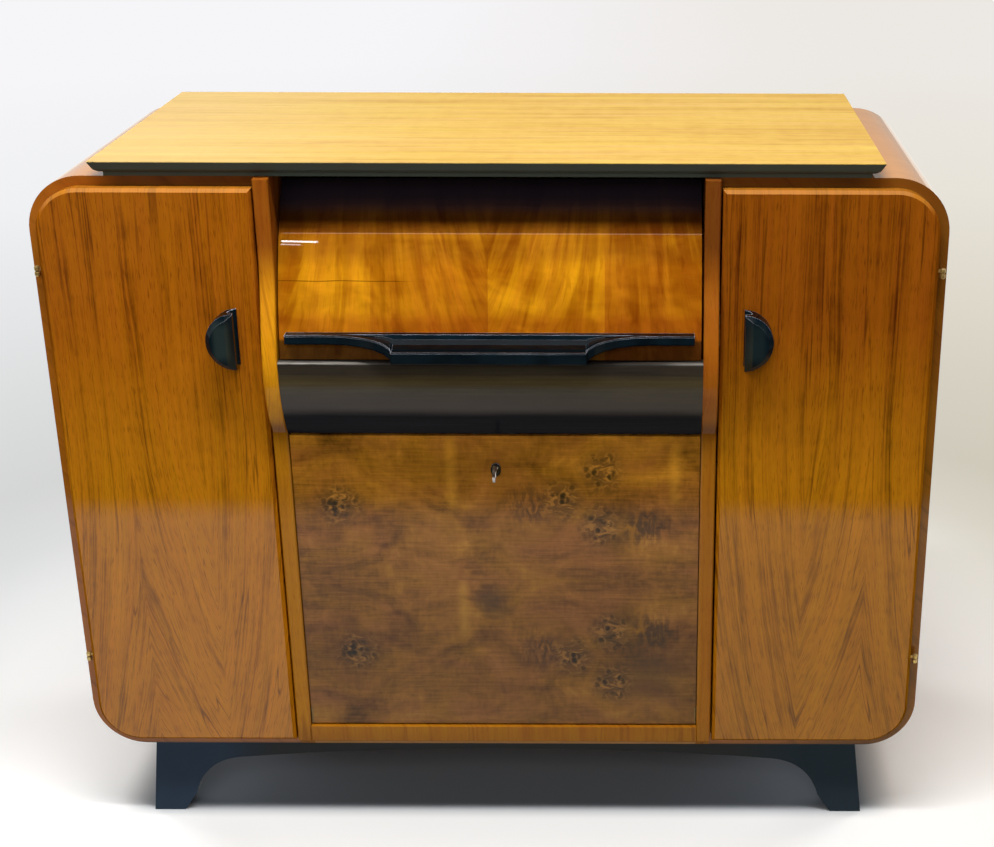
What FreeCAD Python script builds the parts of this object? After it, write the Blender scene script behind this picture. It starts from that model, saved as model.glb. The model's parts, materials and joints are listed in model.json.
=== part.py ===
import FreeCAD, Part
import math
import os

# Record cabinet: two bent side cabinets with doors, and between them a bay with
# a curved swing lid over a player deck and a drop flap over a cupboard.
# Millimetres, +X to the right, +Y to the back, +Z up, origin on the floor under
# the middle of the whole box.

Vec = FreeCAD.Vector

# Overall
width = 1100.0
depth = 428.0
plinth_height = 110.0
carcass_height = 779.0

# Bent side shells
shell_thickness = 18.0
shell_radius = 67.0

# Centre bay and its dividers
bay_width = 514.0
divider_thickness = 18.5
divider_proud = 18.0
front_lift = 15.0
neck_height = 89.0
belly_reach = 45.0
belly_fall = 85.0
edge_ease = 1.5

# Curved front under the lid, measured down from the carcass top
ledge_drop = 218.0
ledge_rise = 16.0
front_recess = 2.0
front_fall = 87.0
front_wall = 15.0
front_foot = 12.0
front_edge_round = 4.0

# Boards of the bay
floor_thickness = 18.0
deck_thickness = 18.0
rail_height = 22.0
rear_rail_height = 40.0
rear_rail_thickness = 18.0
stop_rail_height = 18.0
stop_rail_thickness = 20.0
stop_rail_gap = 0.5

# Back panel
back_thickness = 5.0
back_rabbet = 9.0
screw_radius = 2.2
back_screw_length = 18.0
back_screw_rows = 2
back_screw_end = 110.0

# Top
spacer_height = 6.0
spacer_inset = 96.0
top_overhang = 14.0
core_thickness = 13.0
edging_width = 16.0
edging_undercut = 5.0
edging_foot_height = 3.5
edging_foot_undercut = 5.0
veneer_thickness = 1.0

# Plinth
plinth_inset = 77.0
plinth_setback = 4.0
plinth_board = 22.0
foot_flare = 13.0
foot_width = 42.0
ankle_height = 27.0
ankle_run = 18.0
bracket_run = 84.0
bracket_height = 85.0
bracket_dip = 5.0
bracket_shoulder = 32.0
arch_crown = 100.0
block_size = 32.0
block_height = 50.0

# Doors
door_thickness = 18.0
door_clearance = 1.0
door_margin_side = 13.0
door_margin_top = 11.5
door_margin_bottom = 16.0
door_gap = 2.5
door_chamfer = 4.0

# Door hinges
hinge_top_drop = 114.0
hinge_bottom_rise = 138.5
barrel_radius = 3.3
barrel_height = 6.5
barrel_ease = 1.2
barrel_gap = 0.2
hinge_pin_radius = 1.3
hinge_leaf_thickness = 2.0
hinge_leaf_margin = 1.6
hinge_leaf_depth = 18.0

# Door handles
handle_drop = 193.0
handle_radius = 35.5
handle_width = 34.5
handle_depth = 30.0
handle_inset = 28.5
handle_rim = 6.0
handle_bevel_width = 9.0
handle_bevel_depth = 4.5
scoop_radius = 8.0
scoop_clear = 3.0
handle_screw_spread = 22.0
handle_screw_grip = 10.0

# Door catches
catch_length = 36.0
catch_thickness = 10.0
catch_depth = 16.0
catch_setback = 3.0
catch_slot_width = 4.0
catch_slot_depth = 10.0
tongue_thickness = 1.6
tongue_height = 20.0
tongue_plate_width = 16.0

# Shelves
shelf_thickness = 16.0
shelf_setback = 34.0
shelf_gap = 0.5
shelf_pin_radius = 3.0
shelf_pin_seat = 8.0
shelf_pin_reach = 8.0
shelf_pin_inset = 60.0

# Lid
lid_radius = 375.0
lid_thickness = 12.0
lid_lower_reach = 36.0
lid_upper_setback = 50.0
lid_top_gap = 14.0
lid_rest_gap = 1.5
lid_end_gap = 2.5
cheek_thickness = 10.0
cheek_hub_radius = 18.0
cheek_trim = 6.0
lid_pivot_setback = 100.0
lid_pivot_drop = 209.0
lid_pin_radius = 5.0
lid_pin_seat = 12.0
lid_collar_radius = 8.0

# Lid handle
lid_lip_reach = 65.0
lid_bar_reach = 45.0
lid_bar_end_gap = 11.0
lid_bar_height = 11.5
lid_bar_top_rise = 33.0
lid_lip_half_length = 116.0
lid_sweep_length = 77.0
lid_lip_drop = 30.0
lid_lip_height = 15.5
lid_hollow_start = 3.0
lip_ease = 1.5
hollow_steps = 4
sweep_steps = 6

# Flap
flap_thickness = 19.0
flap_recess = 5.0
flap_side_gap = 1.0
flap_top_gap = 4.0
flap_sill_gap = 1.5
pivot_inset = 3.0
pivot_rise = 3.5
pivot_pin_radius = 1.5
leaf_thickness = 2.0
leaf_depth = 9.0
leaf_height = 26.0

# Flap stays
stay_radius = 200.0
stay_anchor_angle = 60.0
stay_standoff = 10.0
stay_bar_width = 12.0
stay_bar_thickness = 3.0
stay_bar_inset = 4.0
stay_eye_radius = 8.0
stay_pin_radius = 3.0
stay_pin_end = 1.0
stay_bracket_width = 6.0
stay_bracket_height = 22.0
stay_bracket_cover = 2.0
stay_stop_length = 10.0
keeper_length = 18.0
keeper_wall = 3.5
keeper_seat = 9.0
slide_gap = 0.3

# Lock and key
key_drop = 41.0
lock_width = 56.0
lock_height = 64.0
lock_thickness = 12.0
lock_plate = 2.0
bolt_width = 18.0
bolt_thickness = 6.0
key_shank_radius = 2.2
key_bit_drop = 8.5
key_bit_length = 4.0
key_bit_thickness = 2.0
key_bit_clear = 1.5
bolt_lift = 3.0
key_shoulder_width = 1.0
key_shoulder_length = 2.0
key_reach = 36.0
key_bow_radius = 10.0
key_bow_hole = 5.5
key_bow_thickness = 3.0
keyhole_gap = 0.4
escutcheon_width = 13.0
escutcheon_height = 18.0
escutcheon_thickness = 2.0
strike_width = 44.0
strike_depth = 16.0
strike_thickness = 1.5
bolt_throw = 10.0

# Fits, and how near a point must lie to a plane to count as on it
fit = 0.05
near = 0.01

# Planes worked out from the sizes above; the box's middle is at y = 0
front = -(depth - lid_lip_reach) / 2
back = front + depth
back_inner = back - back_thickness
base = plinth_height
top = base + carcass_height
half_width = width / 2
half_bay = bay_width / 2
divider_outer = half_bay + divider_thickness
divider_front = front - divider_proud
rail_bottom = base + front_lift
rail_top = rail_bottom + rail_height
ledge = top - ledge_drop
belly_peak = ledge - ledge_rise
belly_end = belly_peak - belly_fall
belly_start = top - neck_height
front_bottom = belly_peak - front_fall
deck_front = front + front_foot
door_back = front - door_clearance
door_face = door_back - door_thickness
door_inner = divider_outer + door_gap
door_outer = half_width - door_margin_side
door_bottom = base + door_margin_bottom
door_top = top - door_margin_top
hinge_x = half_width - door_margin_side / 2
hinge_y = (door_face + door_back) / 2
hinge_heights = (base + hinge_bottom_rise, top - hinge_top_drop)
handle_z = top - handle_drop
lid_half = half_bay - lid_end_gap
lid_bar_half = half_bay - lid_bar_end_gap
lid_pivot_y = front + lid_pivot_setback
lid_pivot_z = top - lid_pivot_drop
flap_face = divider_front + flap_recess
flap_back = flap_face + flap_thickness
flap_half = half_bay - flap_side_gap
flap_bottom = rail_top + flap_sill_gap
flap_top = front_bottom - flap_top_gap
pivot_y = flap_face + pivot_inset
pivot_z = flap_bottom + pivot_rise
key_z = flap_top - key_drop
shelf_z = (base + top - shelf_thickness) / 2


def box(x0, x1, y0, y1, z0, z1):
    """A box between two corners."""
    return Part.makeBox(x1 - x0, y1 - y0, z1 - z0, Vec(x0, y0, z0))


def rod(start, end, radius):
    """A round rod from one point to another."""
    run = end - start
    return Part.makeCylinder(radius, run.Length, start, run)


def mirrored(shape):
    """The same piece on the other side of the cabinet."""
    return shape.mirror(Vec(0, 0, 0), Vec(1, 0, 0))


def both_sides(shape):
    """A piece and its mirror image as one group of two solids."""
    return Part.makeCompound([shape, mirrored(shape)])


def line(a, b):
    return Part.LineSegment(a, b).toShape()


def arc(a, middle, b):
    return Part.Arc(a, middle, b).toShape()


def bezier(*poles):
    curve = Part.BezierCurve()
    curve.setPoles(list(poles))
    return curve.toShape()


def extrude(edges, run):
    """A solid from a closed outline of edges, carried along a vector."""
    return Part.Face(Part.Wire(edges)).extrude(run)


def polygon(points, run):
    """A solid from a closed outline of straight sides, carried along a vector."""
    return Part.Face(Part.makePolygon(points + points[:1])).extrude(run)


def edges_where(shape, test):
    """The edges whose two ends both pass a test."""
    return [edge for edge in shape.Edges if all(test(v.Point) for v in edge.Vertexes)]


def corner_arc(cx, cz, radius, start, y):
    """A quarter circle in the front plane, counted anticlockwise from an angle."""
    at = [math.radians(start + turn) for turn in (0, 45, 90)]
    return arc(*[Vec(cx + radius * math.cos(a), y, cz + radius * math.sin(a)) for a in at])


def screw(x, y, z, direction, length, grow=0.0):
    """A wood screw as a plain pin whose head end lies flush at y and which runs along +Y or -Y."""
    return rod(Vec(x, y, z), Vec(x, y + direction * (length + grow), z), screw_radius + grow)


# Side shells, back panel and dividers

def right_shell_body():
    """Bent C-shaped shell: top, round shoulder, side, round hip and bottom in one board."""
    edges = []
    inner_radius = shell_radius - shell_thickness
    cx = half_width - shell_radius
    high, low = top - shell_radius, base + shell_radius
    for radius in (shell_radius, inner_radius):
        edges.append(line(Vec(divider_outer, front, high + radius), Vec(cx, front, high + radius)))
        edges.append(corner_arc(cx, high, radius, 0, front))
        edges.append(line(Vec(cx + radius, front, high), Vec(cx + radius, front, low)))
        edges.append(corner_arc(cx, low, radius, -90, front))
        edges.append(line(Vec(cx, front, low - radius), Vec(divider_outer, front, low - radius)))
    for z in (top, base + shell_thickness):
        edges.append(line(Vec(divider_outer, front, z), Vec(divider_outer, front, z - shell_thickness)))
    return extrude(Part.__sortEdges__(edges), Vec(0, depth, 0))


def back_panel_body():
    """One plywood sheet with round corners, let into the back of both shells."""
    radius = shell_radius - back_rabbet
    cx = half_width - shell_radius
    high, low = top - shell_radius, base + shell_radius
    y = back_inner
    edges = [
        line(Vec(-cx, y, low - radius), Vec(cx, y, low - radius)),
        corner_arc(cx, low, radius, -90, y),
        line(Vec(cx + radius, y, low), Vec(cx + radius, y, high)),
        corner_arc(cx, high, radius, 0, y),
        line(Vec(cx, y, high + radius), Vec(-cx, y, high + radius)),
        corner_arc(-cx, high, radius, 90, y),
        line(Vec(-cx - radius, y, high), Vec(-cx - radius, y, low)),
        corner_arc(-cx, low, radius, 180, y),
    ]
    return extrude(edges, Vec(0, back_thickness, 0))


def back_screws(grow=0.0):
    """Screws through the back panel into the shells and the dividers."""
    columns = (half_width - shell_thickness / 2 - back_rabbet / 2, half_bay + divider_thickness / 2)
    span = carcass_height - 2 * back_screw_end
    heights = [base + back_screw_end + span * i / (back_screw_rows - 1) for i in range(back_screw_rows)]
    return [screw(side * x, back, z, -1, back_screw_length, grow)
            for side in (-1, 1) for x in columns for z in heights]


def belly_edges(reach, start, end, x):
    """The swelling front edge: an ogee from a plumb start down to the peak, then a round to the end."""
    neck, peak = Vec(x, divider_front, start), Vec(x, front - reach, belly_peak)
    third = Vec(0, 0, (start - belly_peak) / 3)
    swell = reach - divider_proud
    radius = (swell ** 2 + (belly_peak - end) ** 2) / (2 * swell)
    half_turn = math.asin((belly_peak - end) / radius) / 2
    middle = Vec(x, peak.y + radius * (1 - math.cos(half_turn)), belly_peak - radius * math.sin(half_turn))
    foot = Vec(x, divider_front, end)
    return [bezier(neck, neck - third, peak + third, peak), arc(peak, middle, foot)]


def right_divider_body():
    """Upright between bay and side cabinet, with its shaped front edge standing proud of the shells."""
    x = half_bay
    corners = [Vec(x, divider_front, belly_end), Vec(x, divider_front, rail_bottom),
               Vec(x, front, rail_bottom), Vec(x, front, base), Vec(x, back_inner, base),
               Vec(x, back_inner, top), Vec(x, divider_front, top), Vec(x, divider_front, belly_start)]
    edges = [line(a, b) for a, b in zip(corners, corners[1:])]
    edges += belly_edges(belly_reach, belly_start, belly_end, x)
    board = extrude(Part.__sortEdges__(edges), Vec(divider_thickness, 0, 0))
    nose = edges_where(board, lambda p: p.y < divider_front + near)
    long_edges = [e for e in nose if e.BoundBox.XLength < near]
    return board.makeChamfer(edge_ease, long_edges)


# Bay boards, curved front and top

def curved_front_body():
    """Ebonised swelling front that carries the lid's rest ledge and the flap's strike."""
    x = -half_bay
    reach = belly_reach - front_recess
    swell = belly_reach - divider_proud
    radius = (swell ** 2 + belly_fall ** 2) / (2 * swell) - front_recess
    peak = Vec(x, front - reach, belly_peak)
    half_turn = math.asin(front_fall / radius) / 2
    round_points = [Vec(x, peak.y + radius * (1 - math.cos(t)), belly_peak - radius * math.sin(t))
                    for t in (half_turn, 2 * half_turn)]
    inner = front - reach + front_wall
    deck_top = front_bottom + deck_thickness
    corners = [round_points[1], Vec(x, deck_front, front_bottom), Vec(x, deck_front, deck_top),
               Vec(x, inner + front_wall, deck_top), Vec(x, inner, deck_top + front_wall),
               Vec(x, inner, ledge), Vec(x, front - reach, ledge), peak]
    edges = [line(a, b) for a, b in zip(corners, corners[1:])] + [arc(peak, *round_points)]
    body = extrude(edges, Vec(bay_width, 0, 0))
    rim = edges_where(body, lambda p: abs(p.y - front + reach) < near and abs(p.z - ledge) < near)
    return body.makeFillet(front_edge_round, rim)


def top_rectangle(inset, z):
    """The top's outline at a height, drawn in on the front and both ends but flush at the back."""
    x = half_width - spacer_inset + top_overhang - inset
    y = front - top_overhang + inset
    return [Vec(-x, y, z), Vec(x, y, z), Vec(x, back, z), Vec(-x, back, z)]


def top_pieces():
    """Spacer board, core, mitred black edging with its two-step undercut, and the veneer over them."""
    z0 = top + spacer_height
    z1 = z0 + core_thickness
    x = half_width - spacer_inset
    spacer = box(-x, x, front, back, top, z0)
    core = polygon(top_rectangle(edging_width, z0), Vec(0, 0, core_thickness))
    levels = [top_rectangle(edging_undercut + edging_foot_undercut, z0),
              top_rectangle(edging_undercut, z0 + edging_foot_height), top_rectangle(0, z1)]
    wires = [Part.makePolygon(points + points[:1]) for points in levels]
    rim = Part.makeLoft(wires, True, True).cut(core)
    inner, outer = top_rectangle(2 * edging_width, z0), top_rectangle(-edging_width, z0)
    front_zone = polygon([inner[0], outer[0], outer[1], inner[1]], Vec(0, 0, core_thickness))
    strips = [rim.common(front_zone)] + rim.cut(front_zone).Solids
    veneer = polygon(top_rectangle(0, z1), Vec(0, 0, veneer_thickness))
    return spacer, core, Part.makeCompound(strips), veneer


# Plinth

def arch_edges(outer_top, outer_floor, foot, place):
    """A rail with two feet: straight toe, bracket curve and a long flat arch, drawn by place(run, z)."""
    toe = outer_floor - foot
    ankle = toe - ankle_run
    bracket = toe - bracket_run
    shoulder = toe - bracket_shoulder
    edges = [line(place(-outer_top, base), place(outer_top, base))]
    for side in (-1, 1):
        points = [place(side * outer_top, base), place(side * outer_floor, 0), place(side * toe, 0),
                  place(side * ankle, ankle_height)]
        edges += [line(a, b) for a, b in zip(points, points[1:])]
        edges.append(bezier(points[-1], place(side * shoulder, bracket_height - bracket_dip),
                            place(side * bracket, bracket_height)))
    edges.append(arc(place(-bracket, bracket_height), place(0, arch_crown), place(bracket, bracket_height)))
    return Part.__sortEdges__(edges)


def plinth_pieces():
    """Front and rear rails with flared feet, leaning side rails between them and corner blocks."""
    outer = half_width - plinth_inset
    y0 = front + plinth_setback
    y1 = back - plinth_setback - plinth_board
    rails = [extrude(arch_edges(outer, outer + foot_flare, foot_width, lambda u, z: Vec(u, y, z)),
                     Vec(0, plinth_board, 0)) for y in (y0, y1)]
    y_mid, half_side = (y0 + plinth_board + y1) / 2, (y1 - y0 - plinth_board) / 2
    slant = polygon([Vec(outer - plinth_board, y0, base), Vec(outer, y0, base),
                     Vec(outer + foot_flare, y0, 0), Vec(outer + foot_flare - plinth_board, y0, 0)],
                    Vec(0, depth, 0))
    profile = arch_edges(half_side, half_side, foot_width - plinth_board, lambda u, z: Vec(0, y_mid + u, z))
    side = extrude(profile, Vec(half_width, 0, 0)).common(slant)
    x = outer - plinth_board
    blocks = [box(x - block_size, x, y, y + block_size, base - block_height, base)
              for y in (y0 + plinth_board, y1 - block_size)]
    return rails[0], rails[1], side, Part.makeCompound([both_sides(block) for block in blocks])


# Doors and their furniture, made for the right side

def right_door_slab():
    """Door leaf with round outer corners and a chamfer all round its face."""
    radius = shell_radius - door_margin_side
    cx = door_outer - radius
    high, low = door_top - radius, door_bottom + radius
    y = door_face
    edges = [
        line(Vec(door_inner, y, door_bottom), Vec(cx, y, door_bottom)),
        corner_arc(cx, low, radius, -90, y),
        line(Vec(door_outer, y, low), Vec(door_outer, y, high)),
        corner_arc(cx, high, radius, 0, y),
        line(Vec(cx, y, door_top), Vec(door_inner, y, door_top)),
        line(Vec(door_inner, y, door_top), Vec(door_inner, y, door_bottom)),
    ]
    leaf = extrude(edges, Vec(0, door_thickness, 0))
    return leaf.makeChamfer(door_chamfer, edges_where(leaf, lambda p: abs(p.y - door_face) < near))


def handle_screw_places():
    x = door_inner + handle_inset + handle_width / 2
    return [(x, handle_z - handle_screw_spread), (x, handle_z + handle_screw_spread)]


def handle_screws(grow=0.0):
    length = door_thickness + handle_screw_grip
    return [screw(x, door_back, z, -1, length, grow) for x, z in handle_screw_places()]


def right_handle_body():
    """Black half-disc pull: chamfered round rim, with a bevel and a finger scoop on its straight side."""
    x = door_inner + handle_inset
    face = door_face - handle_depth
    low, high = handle_z - handle_radius, handle_z + handle_radius
    edges = [line(Vec(x, face, high), Vec(x, face, low)),
             arc(Vec(x, face, low), Vec(x + handle_width, face, handle_z), Vec(x, face, high))]
    disc = extrude(edges, Vec(0, handle_depth, 0))
    rim = [e for e in edges_where(disc, lambda p: abs(p.y - face) < near) if e.BoundBox.XLength > near]
    disc = disc.makeChamfer(handle_rim, rim)
    bevel = polygon([Vec(x, face, low), Vec(x + handle_bevel_width, face, low),
                     Vec(x, face + handle_bevel_depth, low)], Vec(0, 0, high - low))
    scoop_y = door_face - scoop_clear - scoop_radius
    scoop = rod(Vec(x, scoop_y, low), Vec(x, scoop_y, high), scoop_radius)
    return disc.cut(bevel).cut(scoop)


def hinge_barrel(low, high):
    """One small barrel of a pin hinge, eased at both ends like a bead."""
    barrel = rod(low, high, barrel_radius)
    return barrel.makeChamfer(barrel_ease, [edge for edge in barrel.Edges if edge.Closed])


def hinge_post(z, grow=0.0):
    """Fixed half of a pin hinge: leaf in the shell's edge, lower barrel and the pin."""
    centre = Vec(hinge_x, hinge_y, z)
    low = centre - Vec(0, 0, barrel_height)
    barrel = hinge_barrel(low, centre - Vec(0, 0, barrel_gap))
    pin = rod(low, centre + Vec(0, 0, barrel_height), hinge_pin_radius)
    half, margin = hinge_leaf_thickness / 2 + grow, hinge_leaf_margin - grow
    leaf = box(hinge_x - half, hinge_x + half, hinge_y, front + hinge_leaf_depth + grow,
               low.z + margin, z - margin)
    return barrel.fuse([pin, leaf])


def hinge_knuckle(z, grow=0.0):
    """Moving half: upper barrel round the pin, with a leaf in the door's edge."""
    centre = Vec(hinge_x, hinge_y, z)
    high = centre + Vec(0, 0, barrel_height)
    barrel = hinge_barrel(centre + Vec(0, 0, barrel_gap), high)
    half, margin = hinge_leaf_thickness / 2 + grow, hinge_leaf_margin - grow
    leaf = box(door_outer - hinge_leaf_depth - grow, hinge_x, hinge_y - half, hinge_y + half,
               z + margin, high.z - margin)
    return barrel.fuse(leaf).cut(rod(centre, high, hinge_pin_radius + fit))


def right_catch_body():
    """Catch block on the divider with a slot that grips the door's tongue."""
    y = front + catch_setback
    block = box(divider_outer, divider_outer + catch_thickness, y, y + catch_depth,
                handle_z - catch_length / 2, handle_z + catch_length / 2)
    x = divider_outer + catch_thickness / 2
    slot = box(x - catch_slot_width / 2, x + catch_slot_width / 2, y, y + catch_slot_depth,
               handle_z - catch_length / 2, handle_z + catch_length / 2)
    return block.cut(slot)


def right_tongue_body():
    """Angle plate on the door's back whose tongue enters the catch."""
    x = divider_outer + catch_thickness / 2 - tongue_thickness / 2
    z0, z1 = handle_z - tongue_height / 2, handle_z + tongue_height / 2
    tip = front + catch_setback + catch_slot_depth - slide_gap
    plate = box(x, x + tongue_plate_width, door_back, door_back + tongue_thickness, z0, z1)
    return plate.fuse(box(x, x + tongue_thickness, door_back, tip, z0, z1)).removeSplitter()


# Shelves

def right_shelf_board():
    return box(divider_outer + shelf_gap, half_width - shell_thickness - shelf_gap,
               front + shelf_setback, back_inner, shelf_z, shelf_z + shelf_thickness)


def right_shelf_pins(grow=0.0):
    """Four pins under a shelf, two in the divider and two in the shell."""
    z = shelf_z - shelf_pin_radius
    pins = []
    for y in (front + shelf_pin_inset, back - shelf_pin_inset):
        for x, inward in ((divider_outer, 1), (half_width - shell_thickness, -1)):
            seat = Vec(x - inward * (shelf_pin_seat + grow), y, z)
            pins.append(rod(seat, Vec(x + inward * shelf_pin_reach, y, z), shelf_pin_radius + grow))
    return pins


# Lid

def lid_arc_centre():
    """Centre of the lid's outer arc, from its two ends and its radius."""
    low = Vec(0, front - lid_lower_reach, ledge + lid_rest_gap)
    high = Vec(0, front + lid_upper_setback, top - lid_top_gap)
    chord = high - low
    rise = math.sqrt(lid_radius ** 2 - (chord.Length / 2) ** 2)
    inward = Vec(0, chord.z, -chord.y).normalize()
    centre = (low + high) / 2 + inward * rise
    angles = [math.atan2(p.z - centre.z, p.y - centre.y) % (2 * math.pi) for p in (low, high)]
    return centre, angles[0], angles[1]


def lid_point(radius, angle, x):
    centre = lid_arc_centre()[0]
    return Vec(x, centre.y + radius * math.cos(angle), centre.z + radius * math.sin(angle))


def lid_band(outer, inner, x0, x1):
    """The part of the lid's cylinder between two radii, from end to end of the lid's arc."""
    low, high = lid_arc_centre()[1:]
    middle = (low + high) / 2
    a = [lid_point(outer, t, x0) for t in (low, middle, high)]
    b = [lid_point(inner, t, x0) for t in (high, middle, low)]
    return extrude([arc(*a), line(a[2], b[0]), arc(*b), line(b[2], a[0])], Vec(x1 - x0, 0, 0))


def lid_cheek():
    """Fan-shaped end plate under the lid, with the hub that turns on the pivot pin."""
    low, high = lid_arc_centre()[1:]
    inner = lid_radius - lid_thickness
    trim = cheek_trim / inner
    x = lid_half - cheek_thickness
    run = Vec(cheek_thickness, 0, 0)
    first, last = low - trim, high + trim
    points = [lid_point(inner, t, x) for t in (first, (first + last) / 2, last)]
    hub = Vec(x, lid_pivot_y, lid_pivot_z)
    fan = extrude([arc(*points), line(points[2], hub), line(hub, points[0])], run)
    disc = rod(hub, hub + run, cheek_hub_radius)
    bore = rod(hub, hub + run, lid_pin_radius + fit)
    return fan.fuse(disc).removeSplitter().cut(bore)


def lid_pin(grow=0.0):
    """Pivot pin seated in the divider, with a collar that keeps the lid off it."""
    pivot = Vec(half_bay + lid_pin_seat + grow, lid_pivot_y, lid_pivot_z)
    pin = rod(pivot, Vec(lid_half - cheek_thickness, lid_pivot_y, lid_pivot_z), lid_pin_radius + grow)
    collar = rod(Vec(half_bay, lid_pivot_y, lid_pivot_z),
                 Vec(lid_half + slide_gap, lid_pivot_y, lid_pivot_z), lid_collar_radius)
    return pin.fuse(collar)


def lid_handle_section(x, share):
    """Outline across the lid's handle: a plain bar at share 0, a hollowed finger lip at share 1."""
    crown = ledge + lid_rest_gap + lid_bar_top_rise
    reach = lid_bar_reach + (lid_lip_reach - lid_bar_reach) * share
    high = crown - (lid_lip_drop - lid_lip_height) * share
    low = crown - lid_bar_height - (lid_lip_drop - lid_bar_height) * share
    hidden = lid_lower_reach - lid_thickness
    start = lid_lower_reach + lid_hollow_start
    brow = reach - lip_ease
    shape = [(hidden, crown)]
    for i in range(hollow_steps + 1):
        turn = math.pi / 2 * i / hollow_steps
        ahead = start + (brow - start) * (1 - math.cos(turn))
        shape.append((ahead, crown - (crown - high) * math.sin(turn)))
    shape += [(reach, high - lip_ease), (reach, low + lip_ease), (brow, low), (hidden, low)]
    points = [Vec(x, front - ahead, z) for ahead, z in shape]
    return Part.makePolygon(points + points[:1])


def lid_handle_body():
    """Full-width black bar whose front sweeps round a quarter ellipse into the lip in the middle."""
    stations = [(lid_bar_half, 0.0)]
    for i in range(sweep_steps + 1):
        turn = math.pi / 2 * i / sweep_steps
        stations.append((lid_lip_half_length + lid_sweep_length * (1 - math.sin(turn)), 1 - math.cos(turn)))
    stations += [(-x, share) for x, share in reversed(stations)]
    bar = Part.makeLoft([lid_handle_section(-x, share) for x, share in stations], True, True)
    return bar.cut(lid_band(lid_radius, lid_radius - 2 * lid_thickness, -lid_half, lid_half))


# Flap, lock and key

def leaf_plate(x, thickness, grow=0.0):
    return box(x - grow, x + thickness, flap_face - grow, flap_face + leaf_depth + grow,
               flap_bottom - grow, flap_bottom + leaf_height + grow)


def pivot_leaf():
    """Brass leaf let into the flap's end, with the hole for the pivot pin."""
    plate = leaf_plate(flap_half - leaf_thickness, leaf_thickness)
    hole = rod(Vec(flap_half - leaf_thickness, pivot_y, pivot_z), Vec(flap_half, pivot_y, pivot_z),
               pivot_pin_radius + fit)
    return plate.cut(hole)


def pivot_plate():
    """Brass plate let into the divider, with the pivot pin."""
    pin = rod(Vec(flap_half - leaf_thickness, pivot_y, pivot_z), Vec(half_bay, pivot_y, pivot_z),
              pivot_pin_radius)
    return leaf_plate(half_bay, leaf_thickness).fuse(pin)


def lock_body():
    """Lock case flush with the flap's back and top, hollow for the bit and the bolt."""
    y0, y1 = flap_back - lock_thickness, flap_back
    case = box(-lock_width / 2, lock_width / 2, y0, y1, flap_top - lock_height, flap_top)
    swing = key_bit_drop + key_bit_clear
    hollow = rod(Vec(0, y0 + lock_plate, key_z), Vec(0, y1 - lock_plate, key_z), swing)
    return case.cut(hollow).cut(bolt_body(slide_gap)).cut(keyhole())


def bolt_body(grow=0.0):
    """Lock bolt, drawn back flush with the flap's top edge."""
    y = flap_back - lock_thickness / 2
    z0 = key_z + key_bit_drop + bolt_lift
    return box(-bolt_width / 2 - grow, bolt_width / 2 + grow, y - bolt_thickness / 2 - grow,
               y + bolt_thickness / 2 + grow, z0 - grow, flap_top + grow)


def keyhole():
    """Round hole and slot for the key, from ahead of the flap into the lock."""
    y0, y1 = flap_face - escutcheon_thickness, flap_back - lock_thickness / 2
    hole = rod(Vec(0, y0, key_z), Vec(0, y1, key_z), key_shank_radius + keyhole_gap)
    half_slot = key_bit_thickness / 2 + keyhole_gap
    return hole.fuse(box(-half_slot, half_slot, y0, y1, key_z - key_bit_drop - keyhole_gap, key_z))


def key_body():
    """Steel key: bit, round shank with a shoulder, and a ring bow that stands edge-on to the front."""
    bit_y = flap_back - lock_thickness / 2
    bow_y = flap_face - key_reach + key_bow_radius
    ring_y = bow_y + (key_bow_hole + key_bow_radius) / 2
    shank = rod(Vec(0, ring_y, key_z), Vec(0, bit_y + key_bit_length / 2, key_z), key_shank_radius)
    shoulder_y = flap_face - escutcheon_thickness - slide_gap
    shoulder = rod(Vec(0, shoulder_y - key_shoulder_length, key_z), Vec(0, shoulder_y, key_z),
                   key_shank_radius + key_shoulder_width)
    bit = box(-key_bit_thickness / 2, key_bit_thickness / 2, bit_y - key_bit_length / 2,
              bit_y + key_bit_length / 2, key_z - key_bit_drop, key_z)
    half = Vec(key_bow_thickness / 2, 0, 0)
    bow_centre = Vec(0, bow_y, key_z)
    bow = rod(bow_centre - half, bow_centre + half, key_bow_radius)
    bow = bow.cut(rod(bow_centre - half, bow_centre + half, key_bow_hole))
    return shank.fuse([shoulder, bit, bow]).removeSplitter()


def escutcheon_body():
    """Oval black plate round the keyhole."""
    oval = Part.Ellipse(Vec(0, 0, 0), escutcheon_height / 2, escutcheon_width / 2).toShape()
    oval.rotate(Vec(0, 0, 0), Vec(0, 0, 1), 90)
    oval.rotate(Vec(0, 0, 0), Vec(1, 0, 0), 90)
    oval.translate(Vec(0, flap_face - escutcheon_thickness, key_z - key_bit_drop / 2))
    plate = Part.Face(Part.Wire(oval)).extrude(Vec(0, escutcheon_thickness, 0))
    return plate.cut(keyhole())


def strike_body(grow=0.0):
    """Strike plate under the curved front, with the hole that takes the thrown bolt."""
    y = flap_back - lock_thickness / 2
    plate = box(-strike_width / 2, strike_width / 2, y - strike_depth / 2, y + strike_depth / 2,
                front_bottom, front_bottom + strike_thickness)
    return plate if grow else plate.cut(bolt_hole())


def bolt_hole():
    """Room for the thrown bolt in the strike and the curved front."""
    bolt = bolt_body(slide_gap)
    bolt.translate(Vec(0, 0, bolt_throw))
    return bolt


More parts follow.
